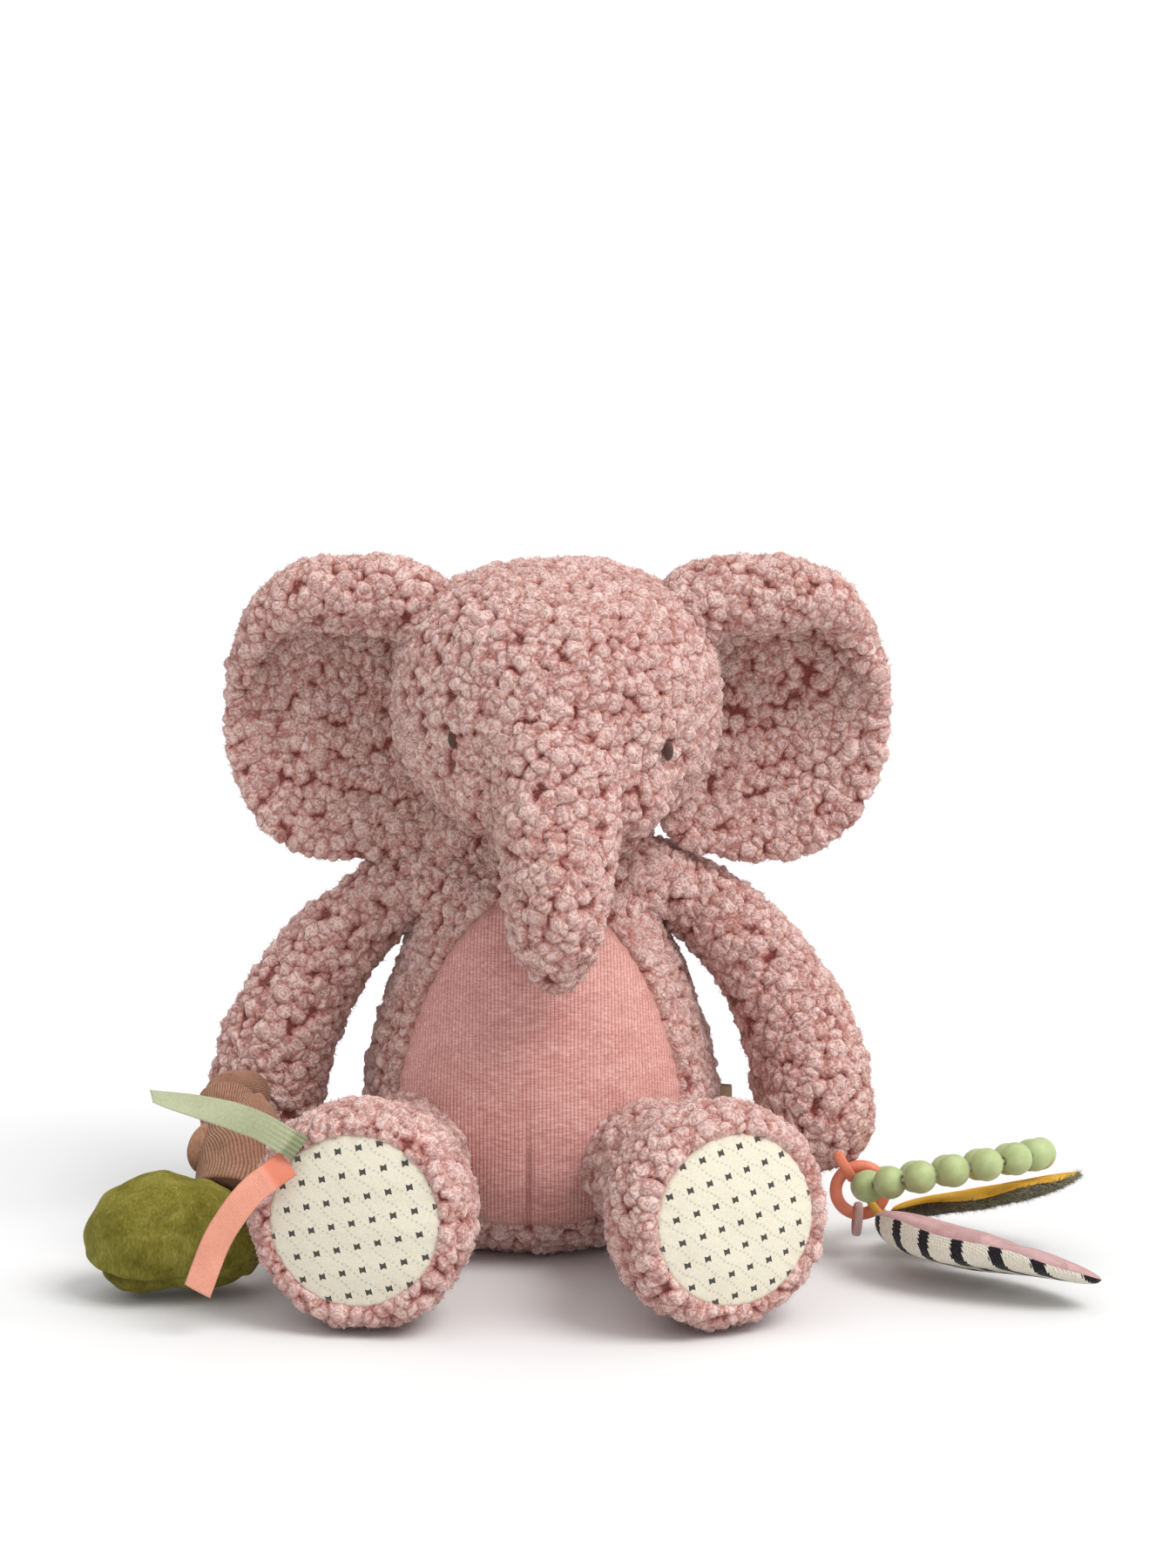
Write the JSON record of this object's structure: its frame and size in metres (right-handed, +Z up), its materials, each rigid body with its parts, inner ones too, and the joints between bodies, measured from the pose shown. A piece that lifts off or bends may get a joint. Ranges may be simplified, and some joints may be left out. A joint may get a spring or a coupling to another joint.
{
  "type": "stuffed elephant",
  "caption": "Sitting plush elephant with floppy ears and trunk, movable limbs, patterned soles and soft activity toys hanging from its hands.",
  "frame": {"origin": "centre of the flat seat patch on which the elephant sits", "axes": "+Z up, -Y the way the elephant faces, +X towards its own left hand, on the right as seen from the front"},
  "size_m": [0.3604, 0.241, 0.254],
  "materials": {
    "fleece": "knobbly curly teddy fleece, pale pink tips over darker rose crevices",
    "belly_knit": "heathered fine vertical rib knit",
    "sole_knit": "cream jersey with small dark woven dots in a staggered lattice",
    "filling": "loose polyester fibre",
    "eye_thread": "dark brown satin-stitch embroidery",
    "side_label": "plain woven tape, blank",
    "sage_satin": "matte grosgrain",
    "coral_satin": "matte grosgrain",
    "brown_knit": "fine rib knit",
    "olive_velour": "short-pile velour with a brushed nap",
    "coral_rubber": "matte silicone",
    "coral_tape": "woven tape",
    "pistachio_silicone": "matte silicone",
    "cord": "braided cord",
    "mustard_velour": "smooth velour",
    "olive_pile": "long brushed pile",
    "mauve_velour": "smooth velour",
    "striped_knit": "off-white knit with black stripes"
  },
  "bodies": {
    "torso": {"torso_shell": "fleece", "belly_panel": "belly_knit", "torso_filling": "filling", "side_label": "side_label"},
    "neck": {"neck_filling": "filling"},
    "head": {"head_shell": "fleece", "head_filling": "filling", "eye_left": "eye_thread", "eye_right": "eye_thread"},
    "trunk": {"trunk_shell": "fleece", "trunk_filling": "filling"},
    "ear_left": {"ear_left_front": "fleece", "ear_left_filling": "filling", "ear_left_back": "fleece"},
    "ear_right": {"ear_right_front": "fleece", "ear_right_filling": "filling", "ear_right_back": "fleece"},
    "arm_left": {"arm_left_shell": "fleece", "arm_left_filling": "filling"},
    "arm_right": {"arm_right_shell": "fleece", "arm_right_filling": "filling", "hand_tab": "coral_tape"},
    "leg_left": {"leg_left_shell": "fleece", "leg_left_filling": "filling", "leg_left_sole": "sole_knit"},
    "leg_right": {"leg_right_shell": "fleece", "leg_right_filling": "filling", "leg_right_sole": "sole_knit"},
    "tail": {"tail": "fleece"},
    "sage_ribbon": {"sage_ribbon": "sage_satin"},
    "coral_ribbon": {"coral_ribbon": "coral_satin"},
    "tree": {"tree_stem": "brown_knit", "tree_stem_filling": "filling", "tree_crown_upper": "olive_velour", "tree_crown_lower": "olive_velour", "tree_crown_filling": "filling"},
    "ring": {"coral_ring": "coral_rubber"},
    "bead_loop": {"bead_cord": "cord", "beads": "pistachio_silicone"},
    "olive_leaf": {"olive_leaf_face": "mustard_velour", "olive_leaf_filling": "filling", "olive_leaf_back": "olive_pile", "olive_leaf_tab": "mustard_velour"},
    "striped_leaf": {"striped_leaf_face": "mauve_velour", "striped_leaf_filling": "filling", "striped_leaf_back": "striped_knit", "striped_leaf_tab": "mauve_velour"}
  },
  "joints": [
    {"name": "neck_turn", "type": "hinge", "parent": "torso", "child": "neck", "pos_m": [0, 0, 0.151], "axis": [0, 0, 1], "range_deg": [-20, 20]},
    {"name": "head_nod", "type": "hinge", "parent": "neck", "child": "head", "pos_m": [0, 0, 0.151], "axis": [-1, 0, 0], "range_deg": [-3, 18]},
    {"name": "trunk_lift", "type": "hinge", "parent": "head", "child": "trunk", "pos_m": [0.008, -0.058, 0.18], "axis": [-1, 0, 0], "range_deg": [0, 35]},
    {"name": "ear_left_flap", "type": "hinge", "parent": "head", "child": "ear_left", "pos_m": [-0.049, 0.004, 0.2], "axis": [0, 0, 1], "range_deg": [-20, 25]},
    {"name": "ear_right_flap", "type": "hinge", "parent": "head", "child": "ear_right", "pos_m": [0.062, 0.004, 0.2], "axis": [0, 0, -1], "range_deg": [-20, 25]},
    {"name": "arm_left_swing", "type": "hinge", "parent": "torso", "child": "arm_left", "pos_m": [-0.05, 0, 0.131], "axis": [-1, 0, 0], "range_deg": [-15, 68]},
    {"name": "arm_right_swing", "type": "hinge", "parent": "torso", "child": "arm_right", "pos_m": [0.05, 0, 0.131], "axis": [-1, 0, 0], "range_deg": [-15, 68]},
    {"name": "leg_left_lift", "type": "hinge", "parent": "torso", "child": "leg_left", "pos_m": [-0.046, -0.047, 0.039], "axis": [-1, 0, 0], "range_deg": [0, 25]},
    {"name": "leg_right_lift", "type": "hinge", "parent": "torso", "child": "leg_right", "pos_m": [0.036, -0.05, 0.039], "axis": [-1, 0, 0], "range_deg": [0, 25]},
    {"name": "tail_wag", "type": "hinge", "parent": "torso", "child": "tail", "pos_m": [0, 0.069, 0.052], "axis": [1, 0, 0], "range_deg": [0, 50]},
    {"name": "sage_ribbon_bend", "type": "hinge", "parent": "leg_left", "child": "sage_ribbon", "pos_m": [-0.0825, -0.142, 0.0685], "axis": [0, 1, 0], "range_deg": [-15, 15], "deforming": ["sage_ribbon"]},
    {"name": "coral_ribbon_bend", "type": "hinge", "parent": "leg_left", "child": "coral_ribbon", "pos_m": [-0.087, -0.14, 0.059], "axis": [0, 1, 0], "range_deg": [-10, 15], "deforming": ["coral_ribbon"]},
    {"name": "tree_swing", "type": "hinge", "parent": "arm_left", "child": "tree", "pos_m": [-0.106, -0.0355, 0.06], "axis": [0, 1, 0], "range_deg": [0, 35]},
    {"name": "ring_swing", "type": "hinge", "parent": "arm_right", "child": "ring", "pos_m": [0.11336, -0.042, 0.03272], "axis": [0, 1, 0], "range_deg": [-15, 12]},
    {"name": "bead_loop_turn", "type": "hinge", "parent": "ring", "child": "bead_loop", "pos_m": [0.118, -0.042, 0.026], "axis": [-0.1899, 0.1539, 0.9697], "range_deg": [-7, 10]},
    {"name": "olive_leaf_turn", "type": "hinge", "parent": "ring", "child": "olive_leaf", "pos_m": [0.1245, -0.042, 0.016], "axis": [-0.1899, 0.1539, 0.9697], "range_deg": [-4, 7]},
    {"name": "striped_leaf_turn", "type": "hinge", "parent": "ring", "child": "striped_leaf", "pos_m": [0.117, -0.042, 0.013], "axis": [0, 0, 1], "range_deg": [-12, 2]}
  ]
}
